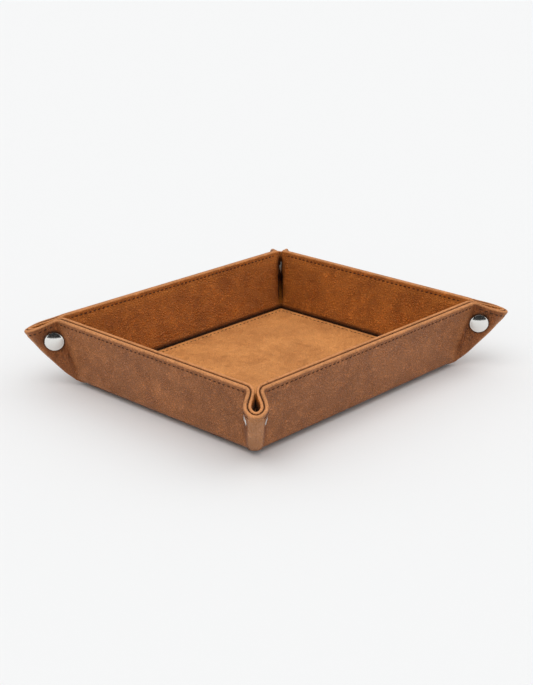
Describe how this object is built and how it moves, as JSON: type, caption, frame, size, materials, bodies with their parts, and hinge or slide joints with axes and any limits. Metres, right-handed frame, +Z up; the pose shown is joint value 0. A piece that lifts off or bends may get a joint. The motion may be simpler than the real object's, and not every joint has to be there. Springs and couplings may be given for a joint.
{
  "type": "cufflink tray",
  "caption": "Rectangular leather catch-all tray whose leaning walls are held up by snap-closed pinched corner ears and fold down flat when the snaps are opened.",
  "frame": {"origin": "centre of the flat underside, on the table", "axes": "+X along the tray's long side to the right wall, +Y along its short side to the back wall, +Z up"},
  "size_m": [0.1998, 0.1708, 0.0378],
  "materials": {
    "cover_leather": "pebbled brown leather, semi-matt",
    "lining_leather": "pebbled tan-brown leather, semi-matt",
    "base_leather": "pebbled tan leather, soft sheen",
    "board": "pressed fibre board, hidden",
    "nickel": "polished nickel plate",
    "thread": "dark brown waxed stitching thread"
  },
  "bodies": {
    "base": {"back_crease_strip": "cover_leather", "base_board": "board", "base_cover": "cover_leather", "base_lining": "base_leather", "front_crease_strip": "cover_leather", "left_crease_strip": "cover_leather", "right_crease_strip": "cover_leather"},
    "front_wall": {"front_wall_board": "board", "front_wall_cover": "cover_leather", "front_wall_lining": "lining_leather"},
    "back_wall": {"back_wall_board": "board", "back_wall_cover": "cover_leather", "back_wall_lining": "lining_leather"},
    "left_wall": {"left_wall_board": "board", "left_wall_cover": "cover_leather", "left_wall_lining": "lining_leather"},
    "right_wall": {"right_wall_board": "board", "right_wall_cover": "cover_leather", "right_wall_lining": "lining_leather"},
    "front_left_ear_left": {"front_left_ear_left_cover": "cover_leather", "front_left_ear_left_lining": "lining_leather", "front_left_snap_cap_with_socket": "nickel", "front_left_snap_socket": "nickel"},
    "front_left_ear_front": {"front_left_ear_front_cover": "cover_leather", "front_left_ear_front_lining": "lining_leather", "front_left_snap_cap_with_stud": "nickel", "front_left_snap_stud": "nickel"},
    "front_right_ear_right": {"front_right_ear_right_cover": "cover_leather", "front_right_ear_right_lining": "lining_leather", "front_right_snap_cap_with_socket": "nickel", "front_right_snap_socket": "nickel"},
    "front_right_ear_front": {"front_right_ear_front_cover": "cover_leather", "front_right_ear_front_lining": "lining_leather", "front_right_snap_cap_with_stud": "nickel", "front_right_snap_stud": "nickel"},
    "back_left_ear_left": {"back_left_ear_left_cover": "cover_leather", "back_left_ear_left_lining": "lining_leather", "back_left_snap_cap_with_socket": "nickel", "back_left_snap_socket": "nickel"},
    "back_left_ear_back": {"back_left_ear_back_cover": "cover_leather", "back_left_ear_back_lining": "lining_leather", "back_left_snap_cap_with_stud": "nickel", "back_left_snap_stud": "nickel"},
    "back_right_ear_right": {"back_right_ear_right_cover": "cover_leather", "back_right_ear_right_lining": "lining_leather", "back_right_snap_cap_with_socket": "nickel", "back_right_snap_socket": "nickel"},
    "back_right_ear_back": {"back_right_ear_back_cover": "cover_leather", "back_right_ear_back_lining": "lining_leather", "back_right_snap_cap_with_stud": "nickel", "back_right_snap_stud": "nickel"}
  },
  "joints": [
    {"name": "front_wall_fold", "type": "hinge", "parent": "base", "child": "front_wall", "pos_m": [0, -0.06142, 0.0045], "axis": [1, 0, 0], "range_deg": [0, 65], "deforming": ["front_crease_strip"]},
    {"name": "back_wall_fold", "type": "hinge", "parent": "base", "child": "back_wall", "pos_m": [0, 0.06142, 0.0045], "axis": [-1, 0, 0], "range_deg": [0, 65], "deforming": ["back_crease_strip"]},
    {"name": "left_wall_fold", "type": "hinge", "parent": "base", "child": "left_wall", "pos_m": [-0.07592, 0, 0.0045], "axis": [0, -1, 0], "range_deg": [0, 65], "deforming": ["left_crease_strip"]},
    {"name": "right_wall_fold", "type": "hinge", "parent": "base", "child": "right_wall", "pos_m": [0.07592, 0, 0.0045], "axis": [0, 1, 0], "range_deg": [0, 65], "deforming": ["right_crease_strip"]},
    {"name": "front_left_ear_left_fold", "type": "hinge", "parent": "left_wall", "child": "front_left_ear_left", "pos_m": [-0.08052, -0.06092, 0.0045], "axis": [-0.2036, -0.2036, 0.9577], "range_deg": [0, 40.3]},
    {"name": "front_left_ear_front_fold", "type": "hinge", "parent": "front_wall", "child": "front_left_ear_front", "pos_m": [-0.07543, -0.06602, 0.0045], "axis": [0.2036, 0.2036, -0.9577], "range_deg": [0, 40.3]},
    {"name": "front_right_ear_right_fold", "type": "hinge", "parent": "right_wall", "child": "front_right_ear_right", "pos_m": [0.08052, -0.06092, 0.0045], "axis": [-0.2036, 0.2036, -0.9577], "range_deg": [0, 40.3]},
    {"name": "front_right_ear_front_fold", "type": "hinge", "parent": "front_wall", "child": "front_right_ear_front", "pos_m": [0.07543, -0.06602, 0.0045], "axis": [0.2036, -0.2036, 0.9577], "range_deg": [0, 40.3]},
    {"name": "back_left_ear_left_fold", "type": "hinge", "parent": "left_wall", "child": "back_left_ear_left", "pos_m": [-0.08052, 0.06092, 0.0045], "axis": [0.2036, -0.2036, -0.9577], "range_deg": [0, 40.3]},
    {"name": "back_left_ear_back_fold", "type": "hinge", "parent": "back_wall", "child": "back_left_ear_back", "pos_m": [-0.07543, 0.06602, 0.0045], "axis": [-0.2036, 0.2036, 0.9577], "range_deg": [0, 40.3]},
    {"name": "back_right_ear_right_fold", "type": "hinge", "parent": "right_wall", "child": "back_right_ear_right", "pos_m": [0.08052, 0.06092, 0.0045], "axis": [0.2036, 0.2036, 0.9577], "range_deg": [0, 40.3]},
    {"name": "back_right_ear_back_fold", "type": "hinge", "parent": "back_wall", "child": "back_right_ear_back", "pos_m": [0.07543, 0.06602, 0.0045], "axis": [-0.2036, -0.2036, -0.9577], "range_deg": [0, 40.3]}
  ],
  "couplings": [
    {"joint": "back_wall_fold", "follows": "front_wall_fold", "ratio": 1},
    {"joint": "left_wall_fold", "follows": "front_wall_fold", "ratio": 1},
    {"joint": "right_wall_fold", "follows": "front_wall_fold", "ratio": 1},
    {"joint": "front_left_ear_left_fold", "follows": "front_wall_fold", "ratio": 0.62},
    {"joint": "front_left_ear_front_fold", "follows": "front_wall_fold", "ratio": 0.62},
    {"joint": "front_right_ear_right_fold", "follows": "front_wall_fold", "ratio": 0.62},
    {"joint": "front_right_ear_front_fold", "follows": "front_wall_fold", "ratio": 0.62},
    {"joint": "back_left_ear_left_fold", "follows": "front_wall_fold", "ratio": 0.62},
    {"joint": "back_left_ear_back_fold", "follows": "front_wall_fold", "ratio": 0.62},
    {"joint": "back_right_ear_right_fold", "follows": "front_wall_fold", "ratio": 0.62},
    {"joint": "back_right_ear_back_fold", "follows": "front_wall_fold", "ratio": 0.62}
  ]
}
